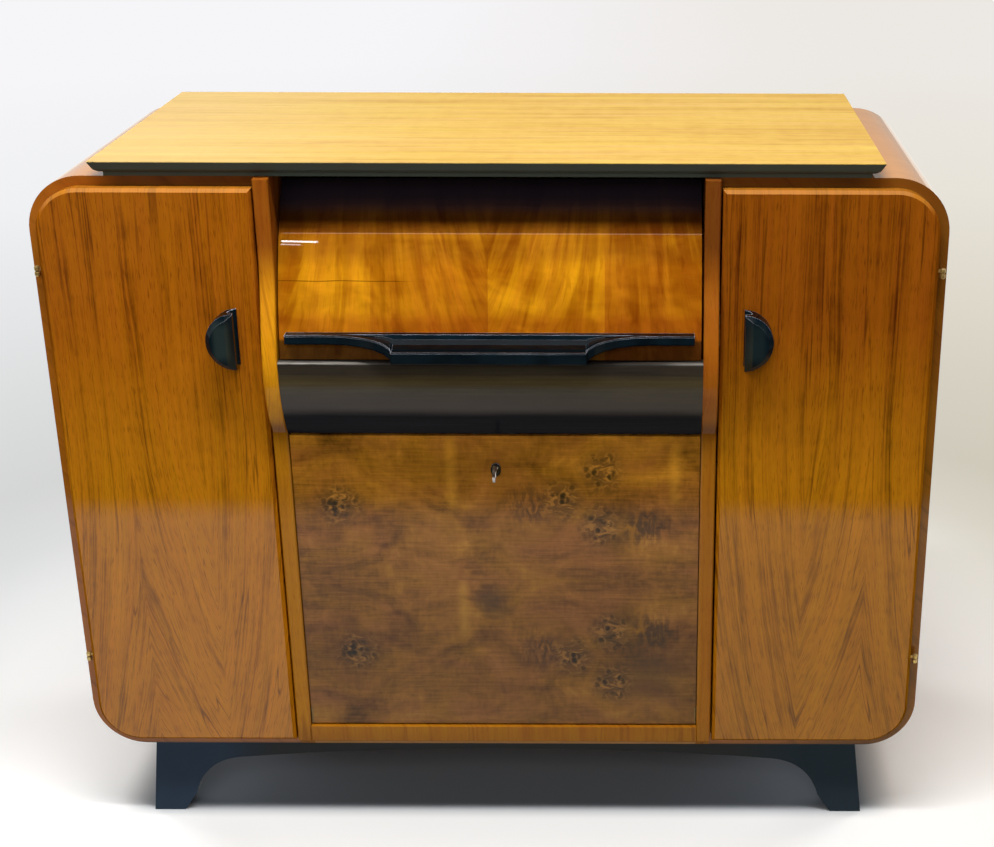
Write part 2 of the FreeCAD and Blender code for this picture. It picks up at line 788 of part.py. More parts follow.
def flap_board():
    """Burl-veneered drop flap with its mortise, keyhole and leaf recesses."""
    board = box(-flap_half, flap_half, flap_face, flap_back, flap_bottom, flap_top)
    lower = edges_where(board, lambda p: abs(p.y - flap_face) < near and abs(p.z - flap_bottom) < near)
    board = board.makeFillet(edge_ease, lower)
    mortise = box(-lock_width / 2, lock_width / 2, flap_back - lock_thickness, flap_back,
                  flap_top - lock_height, flap_top)
    recesses = both_sides(leaf_plate(flap_half - leaf_thickness, leaf_thickness))
    return board.cut(recesses).cut(mortise).cut(keyhole())


# Flap stays: flap pivot, bracket pin and keeper pivot make an isosceles triangle, so the
# keeper and the bar turn by exactly half of the flap's angle

def stay_points():
    """Bracket pin and keeper pivot, both one stay radius away from the flap's pivot."""
    ahead = flap_back + stay_standoff - pivot_y
    pin = Vec(0, pivot_y + ahead, pivot_z + math.sqrt(stay_radius ** 2 - ahead ** 2))
    angle = math.radians(stay_anchor_angle)
    keeper = Vec(0, pivot_y + stay_radius * math.cos(angle), pivot_z + stay_radius * math.sin(angle))
    return pin, keeper


def stay_open_length():
    """Distance from bracket pin to keeper with the flap down, the longest it gets."""
    pin, keeper = stay_points()
    pin_turn = math.atan2(pin.z - pivot_z, pin.y - pivot_y) + math.pi / 2
    apart = pin_turn - math.radians(stay_anchor_angle)
    return 2 * stay_radius * math.sin(apart / 2)


def along_stay(shape):
    """Lay a piece drawn along +Y from the bracket pin onto the line through the keeper."""
    pin, keeper = stay_points()
    tilt = math.degrees(math.atan2(keeper.z - pin.z, keeper.y - pin.y))
    shape.translate(pin)
    shape.rotate(pin, Vec(1, 0, 0), tilt)
    return shape


stay_x1 = half_bay - stay_bar_inset
stay_x0 = stay_x1 - stay_bar_thickness


def stay_bar():
    """Flat bar with an eye on the bracket pin and a stop head behind the keeper."""
    half = stay_bar_width / 2
    head = stay_open_length() + keeper_length / 2 + slide_gap
    bar = box(stay_x0, stay_x1, 0, head, -half, half)
    eye = rod(Vec(stay_x0, 0, 0), Vec(stay_x1, 0, 0), stay_eye_radius)
    stop = box(stay_x0, stay_x1, head, head + stay_stop_length, -half - keeper_wall, half + keeper_wall)
    hole = rod(Vec(stay_x0, 0, 0), Vec(stay_x1, 0, 0), stay_pin_radius + fit)
    return along_stay(bar.fuse([eye, stop]).removeSplitter().cut(hole))


def stay_keeper():
    """Sleeve that the bar slides through, on a stub that turns in the divider."""
    pin, keeper = stay_points()
    reach = (keeper - pin).Length
    half = stay_bar_width / 2 + slide_gap
    x0, x1 = stay_x0 - slide_gap, stay_x1 + slide_gap
    outer = box(x0 - keeper_wall, half_bay - slide_gap, reach - keeper_length / 2, reach + keeper_length / 2,
                -half - keeper_wall, half + keeper_wall)
    slot = box(x0, x1, reach - keeper_length, reach + keeper_length, -half, half)
    stub = rod(Vec(x1 + stay_pin_end, reach, 0), Vec(half_bay + keeper_seat, reach, 0), stay_pin_radius)
    return along_stay(outer.cut(slot).fuse(stub))


def stay_stub_hole():
    keeper = stay_points()[1]
    return rod(Vec(half_bay, keeper.y, keeper.z),
               Vec(half_bay + keeper_seat + slide_gap, keeper.y, keeper.z), stay_pin_radius + fit)


def stay_bracket():
    """Lug on the flap's back with the pin for the bar's eye."""
    pin = stay_points()[0]
    x1 = stay_x0 - slide_gap
    lug = box(x1 - stay_bracket_width, x1, flap_back, pin.y + stay_pin_radius + stay_bracket_cover,
              pin.z - stay_bracket_height / 2, pin.z + stay_bracket_height / 2)
    post = rod(Vec(x1 - stay_pin_end, pin.y, pin.z), Vec(stay_x1 + stay_pin_end, pin.y, pin.z),
               stay_pin_radius)
    return lug.fuse(post)


# Assembly

def build():
    """Every piece by name, cut where its neighbours pass through it."""
    parts = {}
    front_rail, rear_rail, side_rail, blocks = plinth_pieces()
    parts["plinth_front_rail"], parts["plinth_rear_rail"] = front_rail, rear_rail
    parts["plinth_right_rail"], parts["plinth_left_rail"] = side_rail, mirrored(side_rail)
    parts["plinth_corner_blocks"] = blocks

    panel = back_panel_body()
    holes = Part.makeCompound(back_screws(fit))
    shell = right_shell_body().cut(panel).cut(holes)
    shell = shell.cut(Part.makeCompound(right_shelf_pins(fit)))
    shell = shell.cut(Part.makeCompound([hinge_post(z, fit) for z in hinge_heights]))
    divider = right_divider_body().cut(holes).cut(Part.makeCompound(right_shelf_pins(fit)))
    divider = divider.cut(lid_pin(fit)).cut(leaf_plate(half_bay, leaf_thickness)).cut(stay_stub_hole())
    door = right_door_slab().cut(Part.makeCompound([hinge_knuckle(z, fit) for z in hinge_heights]))
    door = door.cut(Part.makeCompound(handle_screws(fit)))
    paired = {
        "shell": shell,
        "divider": divider,
        "shelf": right_shelf_board(),
        "hinge_posts": Part.makeCompound([hinge_post(z) for z in hinge_heights]),
        "door_catch": right_catch_body(),
        "door_panel": door,
        "door_handle": right_handle_body().cut(Part.makeCompound(handle_screws(fit))),
        "hinge_knuckles": Part.makeCompound([hinge_knuckle(z) for z in hinge_heights]),
        "catch_tongue": right_tongue_body(),
        "handle_screws": Part.makeCompound(handle_screws()),
        "stay_arm": stay_bar(),
        "stay_keeper": stay_keeper(),
    }
    for name, shape in paired.items():
        parts["right_" + name] = shape
        parts["left_" + name] = mirrored(shape)

    parts["back_panel"] = panel.cut(holes)
    parts["back_panel_screws"] = Part.makeCompound(back_screws())
    parts["shelf_pins"] = Part.makeCompound([both_sides(pin) for pin in right_shelf_pins()])

    deck_top = front_bottom + deck_thickness
    parts["centre_floor"] = box(-half_bay, half_bay, front, back_inner, base, base + floor_thickness)
    parts["bottom_rail"] = box(-half_bay, half_bay, divider_front, front, rail_bottom, rail_top)
    parts["player_deck"] = box(-half_bay, half_bay, deck_front, back_inner, front_bottom, deck_top)
    parts["curved_front"] = curved_front_body().cut(strike_body(fit)).cut(bolt_hole())
    parts["lock_strike_plate"] = strike_body()
    stop_y = flap_back + stop_rail_gap
    parts["flap_stop_rail"] = box(-half_bay, half_bay, stop_y, stop_y + stop_rail_thickness,
                                  front_bottom - stop_rail_height, front_bottom)
    parts["rear_top_rail"] = box(-half_bay, half_bay, back_inner - rear_rail_thickness, back_inner,
                                 top - rear_rail_height, top)
    spacer, core, edging, veneer = top_pieces()
    parts["top_spacer"], parts["top_board"] = spacer, core
    parts["top_edging"], parts["top_veneer"] = edging, veneer

    parts["lid_panel"] = lid_band(lid_radius, lid_radius - lid_thickness, -lid_half, lid_half)
    parts["lid_right_cheek"], parts["lid_left_cheek"] = lid_cheek(), mirrored(lid_cheek())
    parts["lid_handle"] = lid_handle_body()
    parts["lid_pivot_pins"] = both_sides(lid_pin())

    parts["flap_panel"] = flap_board()
    parts["flap_pivot_leaves"] = both_sides(pivot_leaf())
    parts["flap_pivot_plates"] = both_sides(pivot_plate())
    parts["flap_stay_brackets"] = both_sides(stay_bracket())
    parts["lock_case"] = lock_body()
    parts["lock_bolt"] = bolt_body()
    parts["key_escutcheon"] = escutcheon_body()
    parts["key"] = key_body()
    return parts


os.makedirs("parts", exist_ok=True)
for node, shape in build().items():
    shape.exportStep("parts/" + node + ".step")
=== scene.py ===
from functools import reduce
import json
import math

import bpy
from mathutils import Matrix, Vector


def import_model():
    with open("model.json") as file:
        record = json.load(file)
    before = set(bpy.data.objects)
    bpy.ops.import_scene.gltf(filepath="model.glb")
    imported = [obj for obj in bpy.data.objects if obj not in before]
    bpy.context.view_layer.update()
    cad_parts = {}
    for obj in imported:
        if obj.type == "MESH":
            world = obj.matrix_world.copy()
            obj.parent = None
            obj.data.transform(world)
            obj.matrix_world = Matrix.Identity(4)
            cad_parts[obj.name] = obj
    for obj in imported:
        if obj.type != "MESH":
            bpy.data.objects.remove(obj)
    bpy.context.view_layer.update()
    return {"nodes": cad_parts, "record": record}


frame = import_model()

nodes = frame["nodes"]


def tone(red, green, blue):
    """A colour given as 0 to 255 on a screen, as the linear colour that a shader takes (sRGB undone)."""
    shares = [channel / 255.0 for channel in (red, green, blue)]
    linear = [s / 12.92 if s <= 0.04045 else ((s + 0.055) / 1.055) ** 2.4 for s in shares]
    return (*linear, 1.0)


class Wire:
    """One output of a shader node. Arithmetic on wires and numbers adds Math nodes to its tree."""

    def __init__(self, tree, socket):
        self.tree = tree
        self.socket = socket

    def math(self, operation, *values):
        return self.tree.node("Math", {"operation": operation}, dict(enumerate(values)))

    def __add__(self, other):
        return self.math("ADD", self, other)

    def __sub__(self, other):
        return self.math("SUBTRACT", self, other)

    def __rsub__(self, other):
        return self.math("SUBTRACT", other, self)

    def __mul__(self, other):
        return self.math("MULTIPLY", self, other)

    def __abs__(self):
        return self.math("ABSOLUTE", self)

    def __pow__(self, other):
        return self.math("POWER", self, other)

    __radd__ = __add__
    __rmul__ = __mul__

    def at_least(self, other):
        return self.math("MAXIMUM", self, other)

    def step(self, low, high):
        """0 at low, 1 at high and a smooth change between them, whichever of the two is larger."""
        limits = {"Value": self, "From Min": low, "From Max": high}
        return self.tree.node("MapRange", {"interpolation_type": "SMOOTHSTEP"}, limits)

    def near(self, centre, reach):
        """1 at the centre, falling smoothly to 0 at the reach on both sides of it."""
        return abs(self - centre).step(reach, 0.0)

    def within(self, low, high, edge):
        """1 between low and high, falling smoothly to 0 over the edge outside them."""
        return self.step(low - edge, low) * self.step(high + edge, high)


class Tree:
    """A node tree that is written as Python expressions on wires."""

    def __init__(self, owner):
        owner.use_nodes = True
        self.nodes = owner.node_tree.nodes
        self.links = owner.node_tree.links

    def node(self, kind, settings=None, values=None, output=0):
        """Adds one node: its settings first, then the values or links of its sockets."""
        made = self.nodes.new("ShaderNode" + kind)
        for key, value in (settings or {}).items():
            if key == "stops":
                self.set_stops(made.color_ramp, value)
            else:
                setattr(made, key, value)
        for key, value in (values or {}).items():
            self.join(value, made.inputs[key])
        return Wire(self, made.outputs[output])

    def join(self, value, socket):
        """Links a wire to a socket, or sets the socket to a plain value."""
        if isinstance(value, Wire):
            self.links.new(value.socket, socket)
        else:
            socket.default_value = value

    @staticmethod
    def set_stops(ramp, stops):
        """Gives a colour ramp its stops, as (place, colour) pairs in rising order."""
        while len(ramp.elements) < len(stops):
            ramp.elements.new(1.0)
        for element, (place, colour) in zip(ramp.elements, stops):
            element.position = place
            element.color = colour

    def place(self, coordinates="Object"):
        """The x, y and z of the point, of its normal, or of the direction in a world."""
        return self.split(self.node("TexCoord", output=coordinates))

    def split(self, vector):
        """The x, y and z of a vector."""
        outputs = self.node("SeparateXYZ", None, {0: vector}).socket.node.outputs
        return [Wire(self, outputs[axis]) for axis in "XYZ"]

    def noise(self, x, y, z, detail=2.0, roughness=0.5, distortion=0.0):
        """Soft noise from 0 to 1, with one cell per unit of the three given coordinates."""
        values = {
            "Vector": self.node("CombineXYZ", None, {0: x, 1: y, 2: z}),
            "Scale": 1.0, "Detail": detail, "Roughness": roughness, "Distortion": distortion,
        }
        return self.node("TexNoise", None, values)

    def mix(self, first, second, share, blend="MIX"):
        """Goes from the first colour to the second, or to their blend, as share goes from 0 to 1."""
        settings = {"data_type": "RGBA", "blend_type": blend}
        return self.node("Mix", settings, {0: share, 6: first, 7: second}, 2)

    def tinted(self, colour, tint, share=1.0):
        """The colour multiplied by a tint, as far as the share says."""
        return self.mix(colour, tint, share, "MULTIPLY")

    def ramp(self, value, *stops):
        """A colour that follows a value through the given (place, colour) stops."""
        return self.node("ValToRGB", {"stops": stops}, {0: value})


EDGE_STARTS = 0.995
EDGE_FULL = 0.8


class Finish(Tree):
    """A material for the cabinet's pieces."""

    def __init__(self, name):
        self.material = bpy.data.materials.new(name)
        super().__init__(self.material)
        self.shader = self.nodes["Principled BSDF"]
        self.colour = None

    def grain(self, across, along, cells, layer, **texture):
        """Noise with the given cells per metre across the grain and along it, in a layer of its own."""
        return self.noise(across * cells[0], along * cells[1], layer, **texture)

    def speckle(self, x, y, z, cells, **texture):
        """Noise with the given cells per metre along the three axes."""
        return self.noise(x * cells[0], y * cells[1], z * cells[2], **texture)

    def rounded(self, radius):
        """A normal that rounds every sharp edge over to the radius."""
        return self.node("Bevel", {"samples": 6}, {"Radius": radius})

    def edges(self, reach):
        """0 on flat faces, rising to 1 along sharp edges, where the rounded normal leaves the face's."""
        normals = {0: self.rounded(reach), 1: self.node("NewGeometry", output="True Normal")}
        cosine = self.node("VectorMath", {"operation": "DOT_PRODUCT"}, normals, "Value")
        return cosine.step(EDGE_STARTS, EDGE_FULL)

    def bump(self, height, depth, normal):
        """Relief of the given depth in metres, for a height that runs from 0 to 1."""
        values = {"Height": height, "Strength": 1.0, "Distance": depth, "Normal": normal}
        return self.node("Bump", None, values)

    def set(self, **sockets):
        """Sets or links the shader's own sockets, named with _ for a space."""
        for name, value in sockets.items():
            self.join(value, self.shader.inputs[name.replace("_", " ")])
        return self


# Grain, with the cells of each noise per metre across it and along it

SWAY = (7.0, 2.4)
SWAY_REACH = 0.028
WAVER = (30.0, 8.0)
WAVER_REACH = 0.006
BANDS = (24.0, 0.8)
STREAKS = (190.0, 4.5)
MOTTLE = (26.0, 34.0)
RIDGES = (46.0, 1.1)
LINE_WIDTH = 0.022
DRAWN = (26.0, 4.0)
PORES = (620.0, 60.0)
PORE_DEPTH = 0.00005
BLUSH = (70.0, 3.0)
MEAN_SHADE = 1.135
WORN_REACH = 0.0025
ROUNDING = 0.0006

WHITE = (1.0, 1.0, 1.0, 1.0)
GOLDEN = tone(255, 255, 222)
ROSY = tone(254, 245, 255)
GLOSS = {"Coat_Weight": 1.0, "Coat_Roughness": 0.02, "Coat_IOR": 1.5, "Specular_IOR_Level": 0.0}


def veneer(finish, across, along, seed, tones, bold=1.0, rounding=ROUNDING, tint=WHITE):
    """Wood under gloss lacquer in a pale, a middle and a dark tone, with its grain along one coordinate.

    Noise stretched along the grain gives broad bands, streaks, golden and rosy stripes and short pores,
    and noise that isn't stretched a weak mottle. A drawn line lies where slow noise passes its middle
    value, and comes and goes along the grain. Sharp edges wear paler in patches.
    """
    pale, middle, dark = tones
    sway = finish.grain(across, along, SWAY, seed)
    waver = finish.grain(across, along, WAVER, seed + 1.0)
    across = across + sway * SWAY_REACH + waver * WAVER_REACH
    bands = finish.grain(across, along, BANDS, seed + 3.0)
    streaks = finish.grain(across, along, STREAKS, seed + 5.0, detail=4.0, roughness=0.62)
    ridges = finish.grain(across, along, RIDGES, seed + 7.0, detail=1.0, roughness=0.4)
    drawn = finish.grain(across, along, DRAWN, seed + 9.0, detail=1.0)
    lines = ridges.near(0.5, LINE_WIDTH) * drawn.step(0.42, 0.64)
    pores = finish.grain(across, along, PORES, seed + 11.0, detail=1.0).step(0.54, 0.76)
    mottle = finish.grain(across, along, MOTTLE, seed + 13.0, detail=3.0)
    blush = finish.grain(across, along, BLUSH, seed + 15.0, detail=3.0, roughness=0.6)
    shade = (bands * 0.9 + streaks * 1.1 + mottle * 0.35 - MEAN_SHADE) * bold + 0.5
    colour = finish.ramp(shade, (0.1, dark), (0.5, middle), (0.9, pale))
    colour = finish.tinted(colour, finish.ramp(blush, (0.35, GOLDEN), (0.65, ROSY)))
    colour = finish.mix(colour, dark, lines * (0.7 * bold))
    colour = finish.mix(colour, dark, pores * (0.5 * bold))
    pale_edges = finish.edges(WORN_REACH) * streaks.step(0.4, 0.7)
    colour = finish.mix(colour, pale, pale_edges * 0.5)
    finish.colour = finish.tinted(colour, tint)
    relief = finish.bump(1.0 - pores, PORE_DEPTH, finish.rounded(rounding))
    return finish.set(Base_Color=finish.colour, Roughness=0.45 + 0.15 * streaks, Normal=relief, **GLOSS)


# Doors

DOOR_FIGURE_TOP = 0.60
DOOR_FIGURE_BEND = 0.42
DOOR_FIGURE_SCALE = 1.4
DOOR_PEAK = 0.457
DOOR_VALLEY = 0.365
DOOR_STEEPER = 1.6
DOOR_GRAIN_CHANGE = 18.0
RIGHT_PEAK_SHIFT = 0.013
RIGHT_VALLEY_SHIFT = 0.024
RIGHT_GRAIN_SHIFT = 0.9


def door_finish():
    """Walnut with upright grain that leans into a V at the foot and a peak beside it.

    The grain lines are the contours of zigzag(across) - bend * fall^2. The zigzag rises to the V's valley,
    falls to the peak and rises again, steeper beyond the two than between them, and fall is the depth
    below the figure's top. The grain changes across the door, so that the sides of the V differ. The upper
    part is redder. The right door is darker, partly its own tone and partly painted shade, and the upward
    chamfer is painted paler as light.
    """
    finish = Finish("door_veneer")
    x, y, z = finish.place()
    across = abs(x)
    right = x.step(-0.01, 0.01)
    fall = (DOOR_FIGURE_TOP - z).at_least(0.0)
    before_valley = (DOOR_VALLEY + right * RIGHT_VALLEY_SHIFT - across).at_least(0.0)
    past_peak = across - (DOOR_PEAK + right * RIGHT_PEAK_SHIFT)
    zigzag = abs(past_peak) + past_peak.at_least(0.0) * (DOOR_STEEPER - 1.0)
    zigzag = zigzag - before_valley * (1.0 + DOOR_STEEPER)
    figure = zigzag - fall * fall * DOOR_FIGURE_BEND
    left_tint = finish.ramp(z, (0.48, WHITE), (0.72, tone(239, 219, 255)))
    # The right door's tint is darker than the left's: partly its own tone, partly painted shade.
    right_tint = finish.ramp(
        z, (0.22, tone(234, 236, 240)), (0.42, tone(245, 245, 240)), (0.50, tone(249, 249, 244)),
        (0.72, tone(208, 184, 234)),
    )
    facing = finish.place("Normal")
    chamfer = facing[2].step(0.3, 0.6)
    veneer(
        finish, figure * DOOR_FIGURE_SCALE, z + right * RIGHT_GRAIN_SHIFT,
        1.0 + across * DOOR_GRAIN_CHANGE, (tone(209, 132, 21), tone(193, 121, 17), tone(108, 57, 8)),
        bold=1.15, tint=finish.mix(left_tint, right_tint, right),
    )
    # Painted light: the upward chamfer is painted paler, as if lit from above.
    painted_highlight = finish.mix(finish.colour, tone(228, 156, 52), chamfer * 0.35)
    face = abs(facing[1]).step(0.8, 0.95)
    return finish.set(Base_Color=painted_highlight, Coat_Weight=face.at_least(chamfer))


# Shells, dividers and top

SHELL_UNDERSIDE = (0.1105, 0.1130)
SHELL_TOP = (0.86, 0.88)
UNDER_TOP = (0.47, 0.43)
DIVIDER_HEIGHTS = (0.13, 0.16, 0.56, 0.62, 0.74, 0.81)
DIVIDER_NECK = 0.575
DIVIDER_NECK_REACH = 0.022
DIVIDER_ROUNDING = 0.0012
DIVIDER_GRAIN_DEPTH = 0.6
TOP_ROUNDING = 0.0004
TOP_GRAIN_WIDTH = 1.4


def shell_finish():
    """Walnut like the doors', with the grain round the bent board and dark underneath.

    Its upward faces are painted paler as light, and painted shade lies where the top board covers it.
    """
    finish = Finish("shell_veneer")
    x, y, z = finish.place()
    facing = finish.place("Normal")
    tint = finish.ramp(z, (SHELL_UNDERSIDE[0], tone(120, 116, 112)), (SHELL_UNDERSIDE[1], WHITE))
    # Painted shade on the top face where the top board covers it.
    tint = finish.tinted(tint, tone(176, 186, 255), z.step(*SHELL_TOP) * abs(x).step(*UNDER_TOP))
    veneer(finish, y, z + x, 21.0, (tone(190, 116, 34), tone(170, 96, 26), tone(108, 56, 16)), tint=tint)
    front_edge = facing[1].step(-0.6, -0.9) * x.step(0.3, 0.5)
    colour = finish.tinted(finish.colour, tone(212, 224, 255), front_edge)
    # Painted light: the upward faces are painted paler.
    painted_light = finish.mix(colour, tone(232, 164, 84), facing[2].step(0.3, 0.9) * 0.6)
    return finish.set(Base_Color=painted_light)


def divider_light_by_height(finish, z, foot, straight, swell, head):
    """Painted light and shade that change with the height from the foot to the straight part, the swell
    and the head.
    """
    return finish.ramp(z, *zip(DIVIDER_HEIGHTS, (foot, straight, straight, swell, swell, head)))


def divider_finish():
    """Orange solid wood with quiet upright grain, redder on the right, partly as painted shade.

    Painted light and shade change with the height, brightest on the swell and darker at the head under the
    top, and a painted dark reflection lies at the swell's neck.
    """
    finish = Finish("divider_wood")
    x, y, z = finish.place()
    # Painted light and shade by height; the right one darker, partly own tone and partly painted shade.
    foot = tone(180, 172, 255)
    left = divider_light_by_height(finish, z, foot, tone(206, 201, 255), WHITE, tone(183, 153, 255))
    right = divider_light_by_height(finish, z, foot, tone(188, 176, 255), tone(190, 162, 255), tone(142, 118, 255))
    tint = finish.mix(left, right, x.step(-0.1, 0.1))
    # Painted dark reflection at the swell's neck, where its lower end turns down.
    tint = finish.tinted(tint, tone(190, 176, 170), z.near(DIVIDER_NECK, DIVIDER_NECK_REACH))
    veneer(
        finish, y * DIVIDER_GRAIN_DEPTH + x, z, 31.0,
        (tone(243, 172, 29), tone(231, 156, 23), tone(180, 104, 15)),
        bold=0.8, rounding=DIVIDER_ROUNDING, tint=tint,
    )
    return finish.set(Coat_Weight=0.4, Coat_Roughness=0.12)


def top_finish():
    """Pale golden veneer with long grain from side to side, little gloss, and painted light on its left.
    """
    finish = Finish("top_veneer")
    x, y, z = finish.place()
    veneer(
        finish, y * TOP_GRAIN_WIDTH, x, 41.0,
        (tone(229, 196, 115), tone(218, 179, 93), tone(187, 140, 64)),
        bold=0.85, rounding=TOP_ROUNDING,
    )
    # Painted light: paler towards the left.
    painted_light = finish.mix(finish.colour, tone(230, 205, 151), x.step(0.0, -0.5) * 0.4)
    return finish.set(Base_Color=painted_light, Coat_Weight=0.15)


# Lid, with its tints by height, mostly painted shade: where each starts, where it is full, and its colour

SHEET_BLEND = 0.0005
LID_SEAM = -0.003
LID_JOINT = 0.141
FLAME_FOOT = 0.672
FLAME_LEAN = 0.55
FLAME_TURN = 3.6
FLAME_GLOW = (26.0, 6.0)
FLAME_FEATHERS = (100.0, 30.0)
LID_CLOUD = (11.0, 13.0)
LID_RIPPLE = (22.0, 80.0)
LID_GRAIN_LENGTH = 0.6
LID_CRACK = 0.7645
CRACK_WANDER = 0.006
CRACK_WIDTH = 0.0009
CRACK_END = (-0.085, -0.12)
# From the first row: painted shadow under the handle, darker towards the foot, then painted shade and
# the painted shadow of the top board, darkest at the top.
LID_TINTS = (
    (0.699, 0.694, tone(140, 152, 255)),
    (0.735, 0.715, tone(236, 214, 255)),
    (0.775, 0.80, tone(210, 201, 255)),
    (0.8168, 0.8183, tone(198, 190, 240)),
    (0.8262, 0.8325, tone(172, 172, 220)),
    (0.838, 0.858, tone(104, 112, 255)),
)
LEFT_SHADOW_HEIGHT = (0.8185, 0.8240)
LEFT_SHADOW_WIDTH = (-0.17, -0.25)
TOP_SHADE_HEIGHT = (0.834, 0.85)
GLOSS_END = (0.822, 0.828)


def lid_finish():
    """Golden veneer in four sheets matched about the middle, every second one turned over and darker.

    The flame rises outwards from the seam's foot, and inwards near the ends: its stripes are the contours
    of side - rise * (lean - turn * side), where side is the distance from the seam and rise the height
    over its foot. Short dark feathers follow the stripes, and a fine crack runs in from the left end.
    Towards the top the lid darkens with painted shade and the shadow of the top board, painted too, and
    its gloss ends there. A painted shadow of the left divider lies on its upper left, a painted shadow of
    the handle below the handle, and the lid is a little darker towards its foot.
    """
    finish = Finish("lid_veneer")
    x, y, z = finish.place()
    off = x - LID_SEAM
    side = abs(off)
    flame = side - (z - FLAME_FOOT) * (FLAME_LEAN - side * FLAME_TURN)
    inner_left = off.within(-LID_JOINT, 0.0, SHEET_BLEND) * (0.55 + 0.45 * off.step(-LID_JOINT, -0.06))
    turned = inner_left + off.step(LID_JOINT - SHEET_BLEND, LID_JOINT)
    feather = finish.grain(flame, z, FLAME_FEATHERS, 21.0 + x * 4.0, distortion=0.6)
    glow = finish.grain(flame, z, FLAME_GLOW, 3.0 + x * 1.5, detail=3.0, roughness=0.55, distortion=0.7)
    cloud = finish.grain(x, z, LID_CLOUD, 12.0, detail=3.0, roughness=0.55, distortion=0.6)
    ripple = finish.grain(side, z, LID_RIPPLE, 8.0, detail=3.0, roughness=0.6, distortion=0.5)
    lively = glow.step(0.4, 0.62) * 0.5 + cloud.step(0.36, 0.64) * 0.5 + ripple * 0.5 - 0.2
    wander = finish.noise(x * 9.0, 0.0, 5.0) * CRACK_WANDER
    crack = (z + wander).near(LID_CRACK + CRACK_WANDER / 2.0, CRACK_WIDTH) * x.step(*CRACK_END)
    tint = finish.mix(tone(178, 150, 140), WHITE, lively)
    tint = finish.tinted(tint, tone(226, 208, 235), turned * z.step(0.81, 0.775))
    tint = finish.tinted(tint, tone(196, 168, 150), feather.step(0.54, 0.72) * 0.36)
    tint = finish.mix(tint, tone(90, 70, 60), crack * 0.8)
    for start, full, shade in LID_TINTS:
        tint = finish.tinted(tint, shade, z.step(start, full))
    # Painted shadow of the left divider on the upper left of the lid.
    tint = finish.tinted(tint, tone(186, 184, 200), z.step(*LEFT_SHADOW_HEIGHT) * x.step(*LEFT_SHADOW_WIDTH))
    veneer(
        finish, flame, z * LID_GRAIN_LENGTH, 51.0,
        (tone(243, 172, 28), tone(232, 158, 22), tone(187, 106, 12)),
        bold=0.45, tint=tint,
    )
    # Painted shade: a dark bluish band at the top, under the top board.
    shaded_top = finish.mix(finish.colour, tone(46, 40, 50), z.step(*TOP_SHADE_HEIGHT) * 0.5)
    return finish.set(Base_Color=shaded_top, Coat_Weight=1.0 - 0.85 * z.step(*GLOSS_END))


# Flap

BURL_MATCH = 0.364
BURL_SHIFT = 0.012
BURL_EYES = ((-0.199, 0.105), (0.133, 0.154), (0.082, 0.112), (0.131, 0.077))
BURL_SMUDGES = ((0.041, 0.105), (0.188, 0.072))
BURL_STAINS = ((-0.013, 0.333, 0.05), (0.198, 0.224, 0.095))
BURL_STREAKS = ((-0.057, 0.476, 0.552), (0.225, 0.484, 0.546), (-0.047, 0.290, 0.349))
BURL_SEAM_WIDTH = 0.0008
BURL_CLOUD = (11.0, 17.0)
BURL_FIBRE = (18.0, 300.0)
BURL_GRAIN = (130.0, 50.0)
BURL_SWIRL = (52.0, 105.0)
BURL_BLUSH = (9.0, 15.0)
BURL_EYE = (95.0, 80.0)
FIBRE_DEPTH = 0.00004
BURL_GLOSS = GLOSS | {"Coat_Weight": 0.66, "Coat_Roughness": 0.06}


def distance(across, up, centre, height):
    """How far a point of a flat face lies from a centre on it."""
    return ((across - centre) ** 2.0 + (up - height) ** 2.0) ** 0.5


